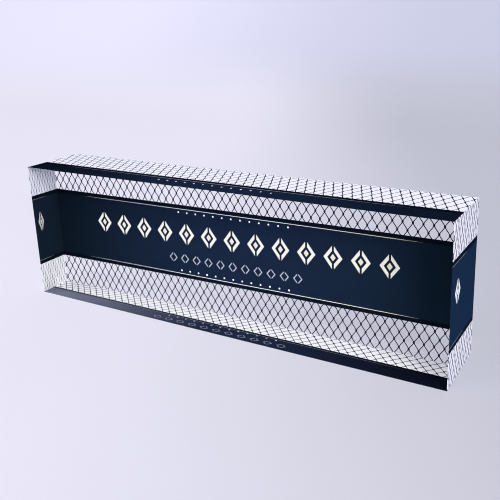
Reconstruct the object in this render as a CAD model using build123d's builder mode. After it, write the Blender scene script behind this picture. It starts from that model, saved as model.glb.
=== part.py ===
"""Desk name plate: a polished clear block, printed on its back and round its four edge faces.

Sizes are in millimetres. +X runs along the plate, +Y from its front to its back and +Z up.
The origin is under the middle of the plate, on the surface that the plate stands on.
"""

import os
from math import ceil, floor, hypot

from build123d import *

# Clear block
length = 203.2
height = 63.5
depth = 31.75
arris = 0.1  # polished chamfer round the front face; the print meets itself at the other edges

# Print
coat = 0.1  # thickness of each printed layer
band_height = 34.8  # navy band along the middle of the back and round both ends
top_strip = 11.9  # from the front face to the inner edge of the band on the top
bottom_strip = 15.0  # the same on the underside
top_stretch = 1.39  # a rule's inset on the top, as a multiple of its inset on the back
bottom_stretch = 1.17  # the same on the underside, and for the title's height there

# Gold rules inside the band's edges
rule_width = 0.25
rule_inset = 1.9  # from the band's edge to the middle of a rule
rule_margin = 16.6  # from the block's end to the tip of a rule
rule_taper = 12.0  # length over which a rule narrows to its tip
end_rule = 18.5  # from the front face to the tip of a rule on an end
end_rule_taper = 5.0

# Gold dots beside the rules
dot_count = 13
dot_pitch = 4.63
dot_diameter = 0.85
dot_sides = 8
dot_inset = 3.45  # from the band's edge to the middle of the dots
top_dot_inset = 5.8  # the same on the top
bottom_dot_inset = 3.6  # the same on the underside

# Lozenge rows in the name's and the title's places
name_count = 13
name_margin = 25.4  # from the block's end to the row's end
name_width = 8.4
name_height = 9.9
name_stroke = 1.7
name_slit = 0.9
name_core_width = 2.4
name_core_height = 3.2
end_lozenge_width = 6.7  # the row's first lozenge, drawn in on an end
end_lozenge_inset = 7.9  # from the front face to its middle
title_count = 11
title_pitch = 6.4
title_width = 4.4
title_height = 4.4
title_stroke = 0.6
title_slit = 0.6
foot_share = 0.7  # gap below the title, as a share of each gap above it

# Knotted net
net_pitch = 4.03  # from knot to knot along a row
net_row = 3.24  # from one row of knots to the next
net_line = 0.36  # width of a strand

# Places worked out from the sizes above
half_length = length / 2
half_height = height / 2
front = -(depth + coat) / 2
back = front + depth
middle = coat + half_height
band_edge = band_height / 2
rule_line = band_edge - rule_inset
rule_length = length - 2 * rule_margin
dot_line = band_edge - dot_inset
clear_height = 2 * (dot_line - dot_diameter / 2)
gap = (clear_height - name_height - title_height) / (2 + foot_share)
name_line = clear_height / 2 - gap - name_height / 2
title_line = foot_share * gap + title_height / 2 - clear_height / 2
name_pitch = (length - 2 * name_margin - name_width) / (name_count - 1)
underside_title_line = (bottom_strip - bottom_dot_inset - dot_diameter / 2) / 2

# Faces that carry print: the back, top and underside seen from outside, and the right end
back_face = Plane(origin=(0, back, middle), x_dir=(-1, 0, 0), z_dir=(0, 1, 0))
top_face = Plane(origin=(0, front, coat + height), x_dir=(1, 0, 0), z_dir=(0, 0, 1))
bottom_face = Plane(origin=(0, front, coat), x_dir=(-1, 0, 0), z_dir=(0, 0, -1))
right_face = Plane(origin=(half_length, front, middle), x_dir=(0, 1, 0), z_dir=(1, 0, 0))

os.makedirs("parts", exist_ok=True)


def keep(piece, name):
    """Label a finished piece and write its file."""
    piece.label = name
    export_step(piece, f"parts/{name}.step")


def area(left, right, low, high, mode=Mode.ADD):
    """Draw a rectangle between four bounds."""
    with Locations(((left + right) / 2, (low + high) / 2)):
        Rectangle(right - left, high - low, mode=mode)


def rule(line, mode=Mode.ADD):
    """Draw a rule that narrows to a tip at both ends, on a level line."""
    tip = rule_length / 2
    full = tip - rule_taper
    half = rule_width / 2
    with Locations((0, line)):
        Polygon(
            (-tip, 0), (-full, -half), (full, -half), (tip, 0), (full, half), (-full, half),
            align=None, mode=mode,
        )


def end_rules(mode=Mode.ADD):
    """Draw the two rules of an end face, from the front arris to a tip."""
    full = end_rule - end_rule_taper
    half = rule_width / 2
    with Locations((0, rule_line), (0, -rule_line)):
        Polygon(
            (arris, -half), (full, -half), (end_rule, 0), (full, half), (arris, half),
            align=None, mode=mode,
        )


def dots(line, mode=Mode.ADD):
    """Draw the row of dots on a level line."""
    with Locations((0, line)):
        with GridLocations(dot_pitch, dot_pitch, dot_count, 1):
            RegularPolygon(dot_diameter / 2, dot_sides, mode=mode)


def chevrons(width, tall, stroke, slit, mode=Mode.ADD):
    """Draw a lozenge's outline as two chevrons, apart at the tips by a slit."""
    half = width / 2
    inner = half - stroke
    edge = slit / 2
    rise = tall / 2 / (half - edge)  # slope of a side
    for side in (1, -1):
        Polygon(
            (side * edge, rise * (half - edge)), (side * half, 0), (side * edge, -rise * (half - edge)),
            (side * edge, -rise * (inner - edge)), (side * inner, 0), (side * edge, rise * (inner - edge)),
            align=None, mode=mode,
        )


def name_lozenge(width, mode=Mode.ADD):
    """Draw one lozenge of the name's place: two chevrons round a small solid core."""
    chevrons(width, name_height, name_stroke, name_slit, mode)
    half_core = name_core_width / 2
    core_tip = name_core_height / 2
    Polygon((half_core, 0), (0, core_tip), (-half_core, 0), (0, -core_tip), align=None, mode=mode)


def name_row(mode=Mode.ADD):
    """Draw the row of lozenges in the name's place."""
    with Locations((0, name_line)):
        with GridLocations(name_pitch, name_pitch, name_count, 1):
            name_lozenge(name_width, mode)


def title_row(line, stretch=1.0, mode=Mode.ADD):
    """Draw the finer row of lozenges in the title's place."""
    with Locations((0, line)):
        with GridLocations(title_pitch, title_pitch, title_count, 1):
            chevrons(title_width, title_height * stretch, title_stroke, title_slit, mode)


def end_lozenge(mode=Mode.ADD):
    """Draw the one lozenge of an end face."""
    with Locations((end_lozenge_inset, name_line)):
        name_lozenge(end_lozenge_width, mode)


def net_openings(low, high, mode):
    """Draw the net's openings over a stretch of heights: diamonds in staggered rows."""
    half_width = net_pitch / 2
    side_distance = half_width * net_row / hypot(half_width, net_row)
    open_share = 1 - net_line / 2 / side_distance
    across = half_width * open_share
    up = net_row * open_share
    half_columns = ceil(half_length / net_pitch)
    for row in range(floor(low / net_row), ceil(high / net_row) + 1):
        columns = 2 * half_columns + 1 - row % 2
        with Locations((0, row * net_row)):
            with GridLocations(net_pitch, net_pitch, columns, 1):
                Polygon((across, 0), (0, up), (-across, 0), (0, -up), align=None, mode=mode)


# Clear block
with BuildPart() as acrylic_block:
    with Locations((0, (front + back) / 2, middle)):
        Box(length, depth, height)
    front_edges = acrylic_block.faces().sort_by(Axis.Y)[0].edges()
    chamfer(front_edges, arris)
keep(acrylic_block.part, "acrylic_block")

# Print on the back
with BuildPart() as back_band:
    with BuildSketch(back_face):
        area(-half_length, half_length, -band_edge, band_edge)
        for side in (1, -1):
            rule(side * rule_line, Mode.SUBTRACT)
            dots(side * dot_line, Mode.SUBTRACT)
        name_row(Mode.SUBTRACT)
        title_row(title_line, mode=Mode.SUBTRACT)
    extrude(amount=coat)
keep(back_band.part, "back_band")

with BuildPart() as name_ornament:
    with BuildSketch(back_face):
        name_row()
    extrude(amount=coat)
keep(name_ornament.part, "name_ornament")

with BuildPart() as title_ornament:
    with BuildSketch(back_face):
        title_row(title_line)
    extrude(amount=coat)
keep(title_ornament.part, "title_ornament")

for place, side in (("upper", 1), ("lower", -1)):
    with BuildPart() as back_rule:
        with BuildSketch(back_face):
            rule(side * rule_line)
        extrude(amount=coat)
    keep(back_rule.part, f"back_{place}_rule")

    with BuildPart() as back_dots:
        with BuildSketch(back_face):
            dots(side * dot_line)
        extrude(amount=coat)
    keep(back_dots.part, f"back_{place}_dots")

for place, low, high in (("upper", band_edge, half_height), ("lower", -half_height, -band_edge)):
    with BuildPart() as back_net:
        with BuildSketch(back_face, mode=Mode.PRIVATE) as drawn_net:
            area(-half_length, half_length, low, high)
            net_openings(low, high, Mode.SUBTRACT)
        joined_strands = drawn_net.sketch.faces().sort_by(SortBy.AREA)[-1]  # without loose corner snips
        extrude(joined_strands, amount=coat)
    keep(back_net.part, f"back_{place}_net")

# Print on the top and on the underside
for place, face, strip, stretch, inset in (
    ("top", top_face, top_strip, top_stretch, top_dot_inset),
    ("bottom", bottom_face, bottom_strip, bottom_stretch, bottom_dot_inset),
):
    edge_rule_line = strip - stretch * rule_inset
    edge_dot_line = strip - inset

    with BuildPart() as net_panel:
        with BuildSketch(face):
            area(-half_length, half_length, strip, depth)
        extrude(amount=coat)
    keep(net_panel.part, f"{place}_net_panel")

    with BuildPart() as edge_band:
        with BuildSketch(face):
            area(-half_length, half_length, arris, strip)
            rule(edge_rule_line, Mode.SUBTRACT)
            dots(edge_dot_line, Mode.SUBTRACT)
            if place == "bottom":
                title_row(underside_title_line, stretch, Mode.SUBTRACT)
        extrude(amount=coat)
    keep(edge_band.part, f"{place}_band")

    with BuildPart() as edge_rule:
        with BuildSketch(face):
            rule(edge_rule_line)
        extrude(amount=coat)
    keep(edge_rule.part, f"{place}_rule")

    with BuildPart() as edge_dots:
        with BuildSketch(face):
            dots(edge_dot_line)
        extrude(amount=coat)
    keep(edge_dots.part, f"{place}_dots")

with BuildPart() as bottom_title_ornament:
    with BuildSketch(bottom_face):
        title_row(underside_title_line, bottom_stretch)
    extrude(amount=coat)
keep(bottom_title_ornament.part, "bottom_title_ornament")

# Print on the right end, and the same print mirrored on the left end
with BuildPart() as right_band:
    with BuildSketch(right_face):
        area(arris, depth, -band_edge, band_edge)
        end_rules(Mode.SUBTRACT)
        end_lozenge(Mode.SUBTRACT)
    extrude(amount=coat)

with BuildPart() as right_rules:
    with BuildSketch(right_face):
        end_rules()
    extrude(amount=coat)

with BuildPart() as right_ornament:
    with BuildSketch(right_face):
        end_lozenge()
    extrude(amount=coat)

with BuildPart() as right_upper_net_panel:
    with BuildSketch(right_face):
        area(arris, depth, band_edge, half_height)
    extrude(amount=coat)

with BuildPart() as right_lower_net_panel:
    with BuildSketch(right_face):
        area(arris, depth, -half_height, -band_edge)
    extrude(amount=coat)

for name, right_piece in (
    ("band", right_band),
    ("rules", right_rules),
    ("ornament", right_ornament),
    ("upper_net_panel", right_upper_net_panel),
    ("lower_net_panel", right_lower_net_panel),
):
    keep(right_piece.part, f"right_{name}")
    with BuildPart() as left_piece:
        mirror(right_piece.part, about=Plane.YZ)
    keep(left_piece.part, f"left_{name}")
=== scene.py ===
"""Looks of a clear desk name plate: a polished block with its print, on a pale studio floor."""

from math import cos, pi, radians, sin

import bmesh
import bpy
import numpy as np
from mathutils import Matrix, Vector


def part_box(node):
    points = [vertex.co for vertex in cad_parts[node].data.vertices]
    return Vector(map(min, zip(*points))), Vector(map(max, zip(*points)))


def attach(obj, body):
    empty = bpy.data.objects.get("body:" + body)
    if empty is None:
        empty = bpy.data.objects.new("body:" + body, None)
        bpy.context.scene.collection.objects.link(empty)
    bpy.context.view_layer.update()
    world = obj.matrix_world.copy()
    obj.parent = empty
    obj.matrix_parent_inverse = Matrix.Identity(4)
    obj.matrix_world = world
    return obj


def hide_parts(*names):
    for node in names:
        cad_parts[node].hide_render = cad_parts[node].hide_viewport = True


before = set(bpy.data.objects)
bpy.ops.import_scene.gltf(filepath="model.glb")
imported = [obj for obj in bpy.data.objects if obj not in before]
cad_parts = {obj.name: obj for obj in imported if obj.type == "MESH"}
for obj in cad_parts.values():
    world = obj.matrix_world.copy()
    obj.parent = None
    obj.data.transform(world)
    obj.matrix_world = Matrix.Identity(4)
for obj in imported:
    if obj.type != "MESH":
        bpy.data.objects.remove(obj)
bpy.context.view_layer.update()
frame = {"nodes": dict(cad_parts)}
nodes = frame["nodes"]

MM = 0.001
Y, Z = 1, 2  # where these coordinates stand in a point

# Clear block
block_low, block_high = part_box("acrylic_block")
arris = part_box("top_band")[0].y - block_low.y  # polished chamfer round the front face
ink_overlap = 0.03 * MM  # the block reaches this far into the ink, so that no air lies between them
half_length = block_high.x
half_height = (block_high.z - block_low.z) / 2
middle = (block_high.z + block_low.z) / 2
front, back = block_low.y, block_high.y
acrylic_index = 1.49
acrylic_haze = 0.006  # roughness where polishing has left the most haze
mirror_start, mirror_full = 0.5, 0.8  # how far a face is turned away: 0 is square on and 1 is edge on

# Print
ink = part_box("back_band")[1].y - back  # thickness of a printed layer
proud = 0.006 * MM  # a strand or dot stands out of its ground by this much, on both sides
band_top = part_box("back_band")[1].z - middle
border_blur = 0.15 * MM  # half the width over which the navy darkens at a rule
border_shade = 0.7  # how far the navy outside a rule is darkened
rim_share = 0.6  # how gold the edges of a lozenge's stroke are
gold_gleam = 0.1
dot_count = 13
dot_sides = 28
name_count = 13
name_width = 8.4 * MM
name_stroke = 1.7 * MM

# The print runs on over the back edges, mirrored, and is drawn longer or shorter there
top_stretch = 1.39
bottom_stretch = 1.17
end_stretch = 0.8

# Knotted net
net_pitch = 4.03 * MM
net_row = 3.24 * MM
strand_width = 0.34 * MM
strand_steps = 8  # steps of a strand from one row of knots to the next
strand_bow = 0.45  # share of a cosine in a strand's zigzag
right_weight = 1.4  # width of a strand on the right end, as a multiple of its width on the back
left_weight = 0.8  # the same on the left end
knot_width = 0.88 * MM
knot_height = 1.15 * MM
knot_sides = 14

# Floor, which rises behind the plate into a backdrop
floor_drop = 0.02 * MM
floor_reach = 1.6
floor_back = 0.45
sweep_radius = 0.3
sweep_steps = 24
wall_height = 1.2
floor_glow = 0.75  # how far the floor shows in its own colour, whatever light falls on it

# Light
sky_light = 0.3
sky_shown = 0.85  # strength of the sky where it is seen, straight or through the block
lamp_aim = (0, 0, 0.03)

# Camera at the photograph's angle
azimuth = radians(30.66)
elevation = radians(16.46)
roll = radians(-1.84)
distance = 0.28732
target = Vector((0.02125, (front + back) / 2, 0.05423 + block_low.z))
image_size = 500
focal_pixels = 701.5
centre_pixel = (269.75, 207.73)
sensor = 36.0
nearest_shown = 0.01


class PrintedFace:
    """A printed face of the block.

    The print's own plane has u along the plate and v up, both zero at the middle of the back.
    A point of it lies at origin + u * along + v * up, moved outwards by lift. The net's strands are
    weight times as wide there as on the back.
    """

    def __init__(self, origin, along, up, out, weight=1.0):
        self.origin = np.array(origin)
        self.along = np.array(along)
        self.up = np.array(up)
        self.out = np.array(out)
        self.weight = weight

    def at(self, u, v, lift):
        """Places of whole arrays of points."""
        u, v, lift = (values[..., None] for values in np.broadcast_arrays(u, v, lift))
        return self.origin + u * self.along + v * self.up + lift * self.out


back_face = PrintedFace((0, back, middle), (1, 0, 0), (0, 0, 1), (0, 1, 0))
top_face = PrintedFace(
    (0, back - top_stretch * half_height, block_high.z), (1, 0, 0), (0, top_stretch, 0), (0, 0, 1)
)
bottom_face = PrintedFace(
    (0, back - bottom_stretch * half_height, block_low.z), (1, 0, 0), (0, -bottom_stretch, 0), (0, 0, -1)
)
end_origin = back - end_stretch * half_length
right_face = PrintedFace(
    (half_length, end_origin, middle), (0, end_stretch, 0), (0, 0, 1), (1, 0, 0), right_weight
)
left_face = PrintedFace(
    (-half_length, end_origin, middle), (0, -end_stretch, 0), (0, 0, 1), (-1, 0, 0), left_weight
)


class Value:
    """A socket in a tree of nodes. Arithmetic on it adds Math nodes."""

    def __init__(self, nodes, socket):
        self.nodes = nodes
        self.socket = socket

    def math(self, operation, other=0.0, turned=False):
        pair = (other, self) if turned else (self, other)
        return self.nodes.node("ShaderNodeMath", {"operation": operation}, dict(enumerate(pair)))

    def __add__(self, other):
        return self.math("ADD", other)

    def __radd__(self, other):
        return self.math("ADD", other, turned=True)

    def __sub__(self, other):
        return self.math("SUBTRACT", other)

    def __rsub__(self, other):
        return self.math("SUBTRACT", other, turned=True)

    def __mul__(self, other):
        return self.math("MULTIPLY", other)

    def __rmul__(self, other):
        return self.math("MULTIPLY", other, turned=True)

    def __abs__(self):
        return self.math("ABSOLUTE")

    def fold(self, reach):
        """Runs up to reach and back again, over and over."""
        return self.math("PINGPONG", reach)

    def between(self, low, high):
        """Runs from low to high as the value runs from 0 to 1."""
        return low + (high - low) * self

    def step(self, low, high):
        """0 below low, 1 above high, and a smooth rise between them."""
        return self.nodes.node(
            "ShaderNodeMapRange",
            {"interpolation_type": "SMOOTHSTEP"},
            {"Value": self, "From Min": low, "From Max": high},
        )


class ShaderNodes:
    """The nodes of a material or a world."""

    def __init__(self, owner):
        owner.use_nodes = True
        self.tree = owner.node_tree

    def node(self, kind, settings=(), inputs=(), output=0):
        """Adds a node of any kind: its settings are set first, then its inputs get values or links."""
        made = self.tree.nodes.new(kind)
        for setting, value in dict(settings).items():
            setattr(made, setting, value)
        for socket, value in dict(inputs).items():
            self.feed(made.inputs[socket], value)
        return Value(self, made.outputs[output])

    def feed(self, socket, value):
        """Links a value to a socket, or sets a plain number or colour on it."""
        if isinstance(value, Value):
            self.tree.links.new(value.socket, socket)
        else:
            socket.default_value = value

    def ray(self, *kinds):
        """1 for rays of any of these kinds, and 0 for others."""
        found = 0.0
        for kind in kinds:
            found = self.node("ShaderNodeLightPath", output=f"Is {kind} Ray").math("MAXIMUM", found)
        return found


class Finish(ShaderNodes):
    """A material."""

    def __init__(self, name, **constants):
        self.material = bpy.data.materials.new(name)
        super().__init__(self.material)
        self.shader = self.tree.nodes["Principled BSDF"]
        for socket, value in constants.items():
            self.set(socket.replace("_", " "), value)
        self.surface = Value(self, self.shader.outputs[0])
        self.place = self.node("ShaderNodeTexCoord", output="Object")

    def set(self, socket, value):
        """Feeds a socket of the main shader."""
        self.feed(self.shader.inputs[socket], value)

    def axis(self, name):
        """One coordinate of the place on the object, in metres."""
        return self.node("ShaderNodeSeparateXYZ", {}, {0: self.place}, name)

    def noise(self, size, detail=3.0, rough=0.5):
        """Soft noise from 0 to 1 whose lumps are about size across."""
        return self.node(
            "ShaderNodeTexNoise",
            {},
            {"Vector": self.place, "Scale": 1 / size, "Detail": detail, "Roughness": rough},
        )

    def grain(self, size):
        """Crisper noise, like the specks of a fine print."""
        return self.noise(size, rough=0.7)

    def mix(self, share, first, second):
        """A colour between two others."""
        return self.node("ShaderNodeMix", {"data_type": "RGBA"}, {0: share, 6: first, 7: second}, 2)

    def along(self, left, mid, right):
        """A colour for each end of the plate and one for its middle, blended along it."""
        x = self.axis("X")
        ground = self.mix(x.step(-half_length, 0.0), left, mid)
        return self.mix(x.step(0.0, half_length), ground, right)

    def flecks(self, ground, noise, start, full, share, colour):
        """The ground with flecks of a colour, which grow to share as noise goes from start to full."""
        return self.mix(noise.step(start, full) * share, ground, colour)

    def blend(self, share, other):
        """Shows another shader instead of what the finish shows so far, by a share from 0 to 1."""
        self.surface = self.node("ShaderNodeMixShader", {}, {0: share, 1: self.surface, 2: other})
        self.feed(self.tree.nodes["Material Output"].inputs["Surface"], self.surface)


def srgb(red, green, blue):
    """A colour from 0 to 255 as the linear colour that a socket takes."""
    share = np.array((red, green, blue)) / 255
    linear = np.where(share <= 0.04045, share / 12.92, ((share + 0.055) / 1.055) ** 2.4)
    return (*linear.tolist(), 1.0)


def even(red, green, blue):
    """The same colour at both ends of the plate and at its middle."""
    return (srgb(red, green, blue),) * 3


def clear_acrylic():
    """Polished clear acrylic, with the faintest haze from polishing.

    From outside it bends light, and mirrors the room at grazing views alone. The rays that bring light to
    the print inside pass straight through.
    """
    finish = Finish("clear_acrylic", Transmission_Weight=1.0, IOR=acrylic_index)
    tint = finish.mix(finish.noise(40 * MM, detail=2.0), srgb(252, 254, 255), srgb(255, 255, 254))
    finish.set("Base Color", tint)
    finish.set("Roughness", finish.noise(9 * MM, detail=4.0).step(0.45, 0.8) * acrylic_haze)
    turned_away = finish.node("ShaderNodeLayerWeight", {}, {"Blend": 0.5}, "Facing")
    grazing = turned_away.step(mirror_start, mirror_full)
    inside = finish.node("ShaderNodeNewGeometry", output="Backfacing")
    bent = finish.node("ShaderNodeBsdfRefraction", {}, {"Roughness": 0.0, "IOR": acrylic_index})
    finish.blend((1 - grazing) * (1 - inside), bent)
    finish.blend(finish.ray("Shadow", "Diffuse"), finish.node("ShaderNodeBsdfTransparent"))
    return finish.material


def navy_ink(name, axis, centre, rule, left, mid, right):
    """Matt navy print: three colours along the plate, almost black outside the rule, with a fine grain.

    The rule lies at the distance rule from centre, along the axis.
    """
    finish = Finish(name, Specular_IOR_Level=0.0)
    border = abs(finish.axis(axis) - centre).step(rule - border_blur, rule + border_blur)
    cloud = finish.noise(14 * MM)
    grain = finish.grain(0.35 * MM)
    ground = finish.along(left, mid, right)
    ground = finish.mix(border * border_shade, ground, srgb(5, 8, 16))
    ground = finish.flecks(ground, cloud, start=0.4, full=0.8, share=0.12, colour=srgb(4, 10, 22))
    ground = finish.flecks(ground, grain, start=0.4, full=0.9, share=0.12, colour=srgb(4, 8, 16))
    finish.set("Base Color", ground)
    finish.set("Roughness", grain.between(0.5, 0.7))
    return finish.material


def name_gold():
    """Gold of the lozenge row: a cream stroke with pale gold along both its edges and on the core.

    A place lies as far out in its lozenge as its distance across, over half the width, and its distance up
    or down, over half the height, add up to: 0 at the lozenge's middle and 1 at its outline.
    """
    finish = Finish("gold_ink", Specular_IOR_Level=0.1)
    low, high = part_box("name_ornament")
    pitch = (high.x - low.x - name_width) / (name_count - 1)
    across = (finish.axis("X") - (low.x + name_width / 2)).fold(pitch / 2)
    rise = abs(finish.axis("Z") - (low.z + high.z) / 2)
    out = across * (2 / name_width) + rise * (2 / (high.z - low.z))
    half_stroke = name_stroke / name_width
    rim = abs(out - (1 - half_stroke)).step(0.5 * half_stroke, 1.1 * half_stroke)
    grain = finish.grain(0.25 * MM)
    edge = finish.along(srgb(217, 211, 192), srgb(216, 209, 188), srgb(224, 204, 156))
    ground = finish.mix(rim * rim_share, srgb(226, 227, 219), edge)
    ground = finish.flecks(ground, grain, start=0.55, full=0.8, share=0.12, colour=srgb(236, 208, 150))
    finish.set("Base Color", ground)
    finish.set("Roughness", grain.between(0.3, 0.5))
    finish.set("Metallic", grain.step(0.55, 0.8) * gold_gleam)
    return finish.material


def fine_gold(name, left, mid, right):
    """Gold of fine lines and dots: three colours along the plate, with a fine grain."""
    finish = Finish(name, Specular_IOR_Level=0.1)
    grain = finish.grain(0.25 * MM)
    ground = finish.along(left, mid, right)
    ground = finish.flecks(ground, grain, start=0.5, full=0.8, share=0.25, colour=srgb(150, 136, 112))
    finish.set("Base Color", ground)
    finish.set("Roughness", grain.between(0.3, 0.5))
    finish.set("Metallic", grain.step(0.55, 0.8) * gold_gleam)
    return finish.material


def net_ink():
    """Blue-black print of the net's strands and knots."""
    finish = Finish("net_ink", Specular_IOR_Level=0.0)
    grain = finish.grain(0.3 * MM)
    finish.set("Base Color", finish.mix(grain, srgb(24, 26, 42), srgb(40, 42, 60)))
    finish.set("Roughness", grain.between(0.4, 0.55))
    return finish.material


def white_ground(name, light, dark):
    """Opaque white print under the net on the edge faces, slightly uneven as a screened white is."""
    finish = Finish(name, Specular_IOR_Level=0.0)
    grain = finish.grain(0.4 * MM)
    ground = finish.mix(finish.noise(18 * MM), light, dark)
    ground = finish.flecks(ground, grain, start=0.55, full=0.85, share=0.2, colour=srgb(232, 231, 240))
    finish.set("Base Color", ground)
    finish.set("Roughness", grain.between(0.5, 0.65))
    return finish.material


def studio_floor():
    """Pale floor, with painted shade that greys it to the right, that turns lavender as it rises into the
    backdrop.
    """
    finish = Finish("studio_floor", Roughness=0.7)
    cloud = finish.noise(0.25).between(-0.06, 0.06)
    x = finish.axis("X")
    slant = x + 0.5 * finish.axis("Y")
    # Painted shade: floor and backdrop both grow greyer to the right
    ground = finish.mix(slant.step(-0.08, 0.18) + cloud, srgb(232, 230, 245), srgb(192, 193, 206))
    wall = finish.mix(x.step(-0.7, 0.0), srgb(232, 231, 253), srgb(199, 201, 223))
    ground = finish.mix(finish.axis("Z").step(0.0, 0.08), ground, wall)
    finish.set("Base Color", ground)
    shown = finish.node("ShaderNodeEmission", {}, {"Color": ground})
    finish.blend(finish.ray("Camera", "Glossy", "Transmission") * floor_glow, shown)
    return finish.material


def fill_mesh(name, points, faces):
    """A new object of these points and faces."""
    mesh = bpy.data.meshes.new(name)
    mesh.from_pydata(np.reshape(points, (-1, 3)).tolist(), [], faces)
    made = bpy.data.objects.new(name, mesh)
    bpy.context.scene.collection.objects.link(made)
    return made


def turn_outwards(piece, cuts=()):
    """Cuts the piece's mesh off at each plane, closes it there and turns its faces outwards."""
    shape = bmesh.new()
    shape.from_mesh(piece.data)
    for place, direction in cuts:
        everything = shape.verts[:] + shape.edges[:] + shape.faces[:]
        cut = bmesh.ops.bisect_plane(
            shape, geom=everything, plane_co=place, plane_no=direction, clear_outer=True
        )
        rim = [part for part in cut["geom_cut"] if isinstance(part, bmesh.types.BMEdge)]
        bmesh.ops.edgeloop_fill(shape, edges=rim)
    bmesh.ops.recalc_face_normals(shape, faces=shape.faces)
    shape.to_mesh(piece.data)
    shape.free()


def dress(piece, material, slot, *replaced):
    """Gives a finished piece its material and its body, and hides the CAD nodes that it replaces."""
    piece.data.materials.append(material)
    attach(piece, "root")
    if replaced:
        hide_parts(*replaced)


def coat(material, *names):
    """Gives CAD nodes a material."""
    for name in names:
        for slot in nodes[name].material_slots:
            slot.material = material


def middle_of(node, axis):
    """Where the middle of a CAD node lies along an axis."""
    low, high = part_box(node)
    return (low[axis] + high[axis]) / 2


def prisms(face, outline_u, outline_v, lift_low, lift_high):
    """Points and faces of flat prisms on a printed face.

    outline_u and outline_v hold one closed outline in each row. Every outline is placed at both lifts,
    quads join the two, and one many-sided face closes each end.
    """
    count, sides = outline_u.shape
    lifts = np.array((lift_low, lift_high))[None, :, None]
    points = face.at(outline_u[:, None, :], outline_v[:, None, :], lifts)
    index = np.arange(count * 2 * sides).reshape(count, 2, sides)
    turned = np.roll(index, -1, axis=2)
    walls = np.stack((index[:, 0], turned[:, 0], turned[:, 1], index[:, 1]), axis=-1)
    ends = index.reshape(-1, sides)
    return points.reshape(-1, 3), walls.reshape(-1, 4).tolist() + ends.tolist()


def rounds(face, centres_u, centres_v, width, height, sides, lift_low, lift_high):
    """Prisms with an ellipse of the given width and height for outline, one at each centre."""
    turn = 2 * pi * np.arange(sides) / sides
    outline_u = np.ravel(centres_u)[:, None] + width / 2 * np.cos(turn)
    outline_v = np.ravel(centres_v)[:, None] + height / 2 * np.sin(turn)
    return prisms(face, outline_u, outline_v, lift_low, lift_high)


def strands(face, u_low, u_high, v_low, v_high, lift_low, lift_high):
    """Points and faces of the net's strands.

    A strand climbs in v while u swings by a quarter pitch to each side of its own line. The swing is a
    triangle wave blended with a cosine, one full wave to two rows, and every second strand swings the
    other way, so that neighbours meet at the knots. The section is a rectangle carried along that line.
    """
    first = np.floor(u_low / net_pitch) - 1
    columns = np.arange(first, np.ceil(u_high / net_pitch) + 1)
    line = np.concatenate((columns + 0.25, columns + 0.75)) * net_pitch
    sense = np.repeat((1.0, -1.0), len(columns))
    step = 1 / strand_steps
    climb = np.arange(np.floor(v_low / net_row) - 1, np.ceil(v_high / net_row) + 1 + step / 2, step)
    triangle = 1 - 2 * np.abs((climb + 1) % 2 - 1)
    swing = (1 - strand_bow) * triangle + strand_bow * np.cos(pi * climb)
    u = line[:, None] + sense[:, None] * swing * net_pitch / 4
    v = np.broadcast_to(climb * net_row, u.shape)
    slope_u, slope_v = np.gradient(u, axis=1), np.gradient(v, axis=1)
    length = np.hypot(slope_u, slope_v)
    half_width = face.weight * strand_width / 2
    side_u, side_v = slope_v / length * half_width, -slope_u / length * half_width
    corner = np.array((1, 1, -1, -1))
    lift = np.array((lift_low, lift_high, lift_high, lift_low))
    section_u = u[..., None] + side_u[..., None] * corner
    section_v = v[..., None] + side_v[..., None] * corner
    points = face.at(section_u, section_v, lift)
    count, steps = u.shape
    index = np.arange(count * steps * 4).reshape(count, steps, 4)
    turned = np.roll(index, -1, axis=2)
    quads = np.stack((index[:, :-1], turned[:, :-1], turned[:, 1:], index[:, 1:]), axis=-1)
    return points.reshape(-1, 3), quads.reshape(-1, 4).tolist()


def knots(face, u_low, u_high, v_low, v_high, lift_low, lift_high):
    """Points and faces of the net's knots, on even rows half a pitch aside from those on odd rows."""
    rows = np.arange(np.floor(v_low / net_row), np.ceil(v_high / net_row) + 1)
    columns = np.arange(np.floor(u_low / net_pitch) - 1, np.ceil(u_high / net_pitch) + 1)
    row, column = np.meshgrid(rows, columns, indexing="ij")
    centres_u = (column + 0.5 * (1 - row % 2)) * net_pitch
    return rounds(
        face, centres_u, row * net_row, knot_width, knot_height, knot_sides, lift_low, lift_high
    )


def net(name, face, u_low, u_high, v_low, v_high, *replaced):
    """The net between bounds on a printed face, cut off at the bounds."""
    bounds = (u_low, u_high, v_low, v_high)
    points, faces = strands(face, *bounds, -proud, ink + proud)
    knot_points, knot_faces = knots(face, *bounds, -2 * proud, ink + 2 * proud)
    faces += [[corner + len(points) for corner in knot_face] for knot_face in knot_faces]
    piece = fill_mesh(name, np.concatenate((points, knot_points)), faces)
    cuts = (
        (face.at(u_low, 0, 0), -face.along),
        (face.at(u_high, 0, 0), face.along),
        (face.at(0, v_low, 0), -face.up),
        (face.at(0, v_high, 0), face.up),
    )
    turn_outwards(piece, cuts)
    dress(piece, strand_ink, "navy_ink", *replaced)


def dot_row(name, face, node, axis):
    """A row of round dots in the place of a CAD row, where axis is the CAD axis across the row."""
    low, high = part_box(node)
    radius = (high[axis] - low[axis]) / 2
    across = np.array((low + high) / 2) - face.origin
    v = across @ face.up / (face.up @ face.up)
    height = 2 * radius / np.linalg.norm(face.up)
    centres_u = np.linspace(low.x + radius, high.x - radius, dot_count)
    points, faces = rounds(
        face, centres_u, np.full(dot_count, v), 2 * radius, height, dot_sides, -proud, ink + proud
    )
    piece = fill_mesh(name, points, faces)
    turn_outwards(piece)
    dress(piece, dot_gold, "gold_ink", node)


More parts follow.
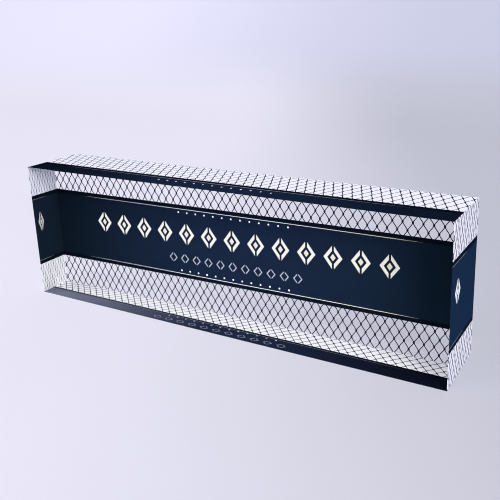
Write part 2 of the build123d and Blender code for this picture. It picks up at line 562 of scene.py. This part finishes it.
def clear_block():
    """The block: three upright rectangles one behind the other, closed by flat faces.

    The first is the front face, drawn in by the arris, the second lies one arris behind it at full size,
    and the third is the back. The block reaches into the ink on the five printed faces, so that light
    inside it meets the ink and not a film of air.
    """
    inset = np.array((arris, 0, 0))[:, None]
    depth = np.array((front, front + arris, back + ink_overlap))[:, None]
    corner_x = np.array((-1, 1, 1, -1)) * (half_length + ink_overlap - inset)
    corner_z = middle + np.array((-1, -1, 1, 1)) * (half_height + ink_overlap - inset)
    points = np.stack(np.broadcast_arrays(corner_x, depth, corner_z), axis=-1)
    index = np.arange(12).reshape(3, 4)
    turned = np.roll(index, -1, axis=1)
    walls = np.stack((index[:-1], turned[:-1], turned[1:], index[1:]), axis=-1)
    ends = index[[0, 2]]
    piece = fill_mesh("clear_block", points, walls.reshape(-1, 4).tolist() + ends.tolist())
    turn_outwards(piece)
    dress(piece, clear_acrylic(), "clear_acrylic", "acrylic_block")


def studio_sweep():
    """A profile carried along X: a level floor, a quarter circle and an upright wall."""
    turn = np.linspace(0, pi / 2, sweep_steps)
    curve_y = floor_back + sweep_radius * np.sin(turn)
    curve_z = sweep_radius * (1 - np.cos(turn))
    profile_y = np.concatenate(([-floor_reach], curve_y, curve_y[-1:]))
    profile_z = np.concatenate(([0], curve_z, [wall_height])) - floor_drop
    sides = np.array((-floor_reach, floor_reach))
    points = np.stack(np.broadcast_arrays(sides[:, None], profile_y, profile_z), axis=-1)
    count = len(profile_y)
    near = np.arange(count - 1)
    quads = np.stack((near, near + count, near + count + 1, near + 1), axis=-1)
    sweep = fill_mesh("studio_sweep", points, quads.tolist())
    sweep.data.materials.append(studio_floor())
    sweep.data.shade_smooth()


def pale_sky():
    """A pale world that lights the object softly and is brighter where it is seen."""
    world = bpy.data.worlds.new("studio_light")
    sky = ShaderNodes(world)
    background = world.node_tree.nodes["Background"]
    seen = sky.ray("Camera", "Glossy", "Transmission")
    sky.feed(background.inputs["Color"], srgb(244, 243, 252))
    sky.feed(background.inputs["Strength"], seen.between(sky_light, sky_shown))
    bpy.context.scene.world = world


def lamp(name, place, size, power):
    """A square soft lamp at place, facing the plate."""
    light = bpy.data.lights.new(name, "AREA")
    light.size = size
    light.energy = power
    made = bpy.data.objects.new(name, light)
    direction = Vector(lamp_aim) - Vector(place)
    turn = direction.to_track_quat("-Z", "Y").to_matrix().to_4x4()
    made.matrix_world = Matrix.Translation(place) @ turn
    made.visible_camera = False
    bpy.context.scene.collection.objects.link(made)


def photo_camera():
    """A camera at a distance from the target, turned by azimuth, elevation and roll."""
    camera = bpy.data.cameras.new("camera")
    camera.sensor_width = sensor
    camera.lens = sensor * focal_pixels / image_size
    camera.shift_x = 0.5 - centre_pixel[0] / image_size
    camera.shift_y = centre_pixel[1] / image_size - 0.5
    camera.clip_start = nearest_shown
    towards = Vector((sin(azimuth) * cos(elevation), -cos(azimuth) * cos(elevation), sin(elevation)))
    level = Vector((cos(azimuth), sin(azimuth), 0))
    right = cos(roll) * level + sin(roll) * towards.cross(level)
    upward = towards.cross(right)
    turn = Matrix((right, upward, towards)).transposed().to_4x4()
    made = bpy.data.objects.new("camera", camera)
    made.matrix_world = Matrix.Translation(target + distance * towards) @ turn
    bpy.context.scene.collection.objects.link(made)
    bpy.context.scene.camera = made


# Block and net
strand_ink = net_ink()
clear_block()
net("back_upper_strands", back_face, -half_length, half_length, band_top, half_height, "back_upper_net")
net("back_lower_strands", back_face, -half_length, half_length, -half_height, -band_top, "back_lower_net")
top_net_start = half_height - (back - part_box("top_band")[1].y) / top_stretch
bottom_net_end = (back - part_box("bottom_band")[1].y) / bottom_stretch - half_height
net("top_strands", top_face, -half_length, half_length, top_net_start, half_height)
net("bottom_strands", bottom_face, -half_length, half_length, -half_height, bottom_net_end)
end_depth = (back - front - arris) / end_stretch
for side, face, u_low, u_high in (
    ("right", right_face, half_length - end_depth, half_length),
    ("left", left_face, -half_length, end_depth - half_length),
):
    net(f"{side}_upper_strands", face, u_low, u_high, band_top, half_height)
    net(f"{side}_lower_strands", face, u_low, u_high, -half_height, -band_top)

# Dots
dot_gold = fine_gold("gold_ink_dots", *even(246, 247, 250))
dot_row("back_upper_dot_print", back_face, "back_upper_dots", Z)
dot_row("back_lower_dot_print", back_face, "back_lower_dots", Z)
dot_row("top_dot_print", top_face, "top_dots", Y)
dot_row("bottom_dot_print", bottom_face, "bottom_dots", Y)

# Navy bands
back_rule = middle_of("back_upper_rule", Z) - middle
top_rule = middle_of("top_rule", Y) - front
bottom_rule = middle_of("bottom_rule", Y) - front
for node, axis, centre, rule, *colours in (
    ("back_band", "Z", middle, back_rule, srgb(15, 26, 38), srgb(23, 36, 59), srgb(19, 33, 48)),
    ("left_band", "Z", middle, back_rule, *even(22, 34, 48)),
    # The right end's navy is lighter than the left end's: painted light on the right end's outer face
    ("right_band", "Z", middle, back_rule, *even(25, 44, 69)),
    ("top_band", "Y", front, top_rule, srgb(10, 17, 30), srgb(24, 36, 58), srgb(13, 23, 38)),
    # The underside's navy turns grey towards its left end: a painted sheen
    ("bottom_band", "Y", front, bottom_rule, srgb(116, 121, 141), srgb(34, 44, 69), srgb(13, 17, 31)),
):
    coat(navy_ink(f"navy_ink_{node}", axis, centre, rule, *colours), node)

# Gold rules and lozenges
coat(name_gold(), "name_ornament")
coat(
    fine_gold("gold_ink_rules", srgb(140, 136, 128), srgb(236, 240, 248), srgb(228, 214, 180)),
    "back_upper_rule", "back_lower_rule",
)
coat(
    fine_gold("gold_ink_edges", srgb(50, 52, 60), srgb(160, 166, 178), srgb(66, 66, 68)),
    "top_rule", "bottom_rule",
)
coat(
    fine_gold("gold_ink_ends", srgb(112, 112, 114), srgb(116, 116, 116), srgb(122, 122, 118)),
    "left_rules", "right_rules",
)
coat(fine_gold("gold_ink_title", *even(170, 178, 192)), "title_ornament")
coat(fine_gold("gold_ink_underside", *even(128, 134, 150)), "bottom_title_ornament")
coat(
    fine_gold("gold_ink_marks", srgb(206, 203, 196), srgb(222, 226, 224), srgb(238, 248, 250)),
    "left_ornament", "right_ornament",
)

# White grounds: two copies of one white, a dimmer and a brighter one, that carry painted light and shade
# The dimmer white, on the outer faces; on the left end's upper panel it is painted shade under the top
coat(
    white_ground("white_ground_plain_and_painted_shade", srgb(238, 239, 249), srgb(233, 233, 244)),
    "top_net_panel", "right_upper_net_panel", "right_lower_net_panel", "left_upper_net_panel",
)
# The brighter white is painted light, on the underside and the left end's lower panel, which are seen
# through the block and get little light there
coat(
    white_ground("white_ground_painted_light", srgb(255, 255, 255), srgb(252, 252, 254)),
    "bottom_net_panel", "left_lower_net_panel",
)

# Studio
studio_sweep()
pale_sky()
lamp("top_softbox", place=(-0.4, -0.9, 1.5), size=1.4, power=14.5)
lamp("right_softbox", place=(1.25, -1.4, 0.75), size=0.9, power=32)
lamp("left_softbox", place=(-1.3, -1.5, 0.75), size=0.9, power=12)
photo_camera()

bpy.context.scene.view_settings.view_transform = "Standard"
cycles = bpy.context.scene.cycles
cycles.max_bounces = 24
cycles.diffuse_bounces = 10
cycles.glossy_bounces = 16
cycles.transmission_bounces = 24
cycles.filter_width = 1.0
